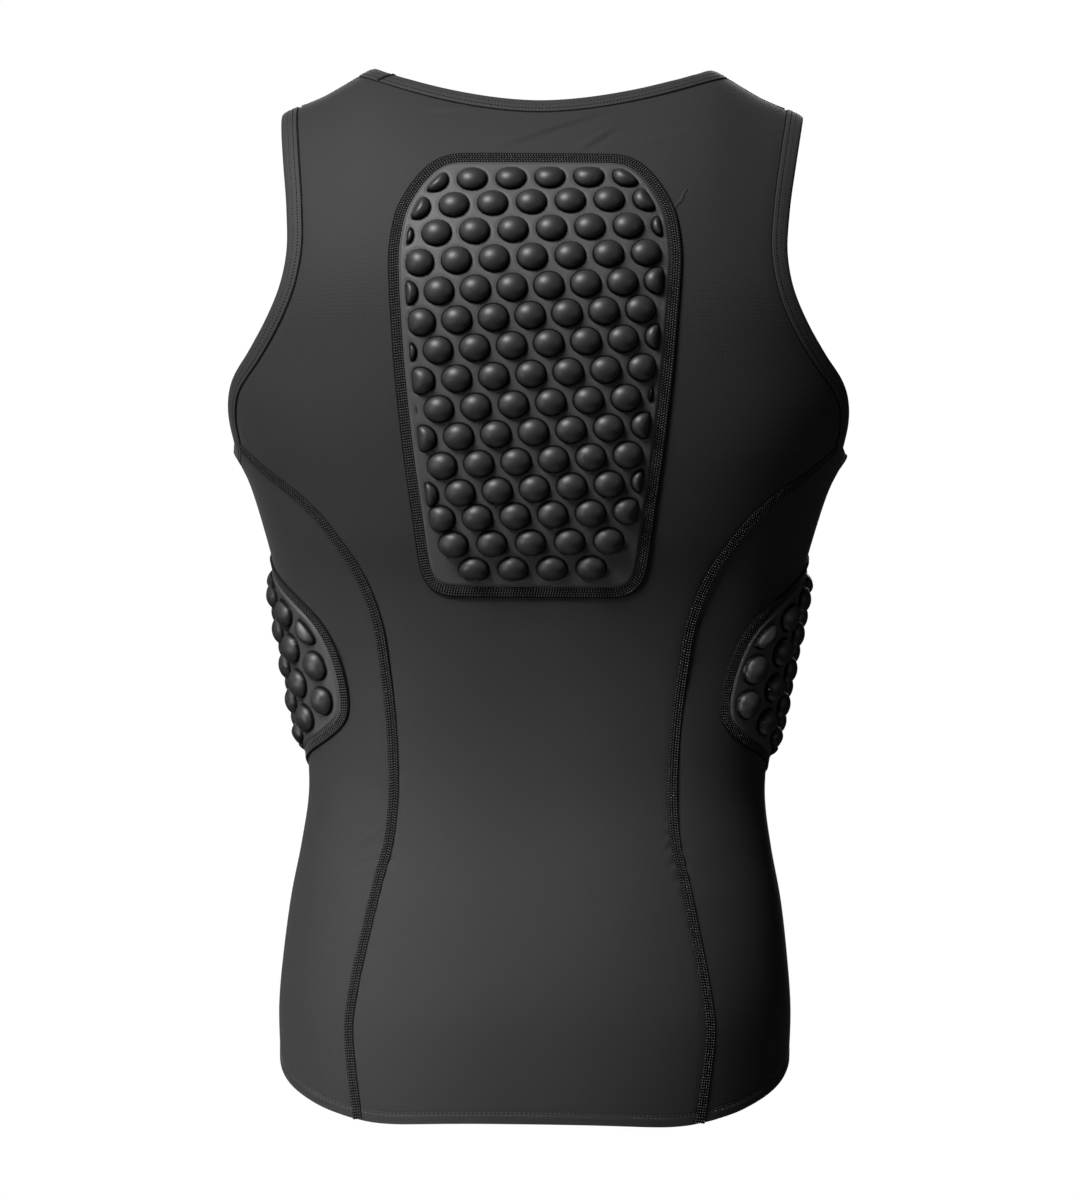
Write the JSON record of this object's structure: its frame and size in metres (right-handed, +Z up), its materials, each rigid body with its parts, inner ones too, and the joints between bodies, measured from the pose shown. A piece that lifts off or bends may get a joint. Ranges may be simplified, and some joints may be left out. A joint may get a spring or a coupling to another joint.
{
  "type": "padded compression shirt",
  "caption": "Sleeveless compression shirt, hollow as worn, with domed impact pads on the upper back and round the ribs.",
  "frame": {"origin": "midway between the two shoulder seams, at the height where the shoulders hold the shirt up", "axes": "+Z up, -Y the way that the wearer faces, +X to the wearer's left"},
  "size_m": [0.3996, 0.2518, 0.6761],
  "materials": {
    "knit": "fine black stretch knit, matt with a faint sheen",
    "pad_cover": "smooth black stretch cover bonded over foam domes",
    "binding": "folded black knit tape"
  },
  "bodies": {
    "root": {"back_panel": "knit", "front_panel": "knit", "side_panel_left": "knit", "side_panel_right": "knit", "neck_binding": "binding", "armhole_binding_left": "binding", "armhole_binding_right": "binding", "back_pad": "pad_cover", "rib_pad_left": "pad_cover", "rib_pad_right": "pad_cover"}
  },
  "joints": []
}
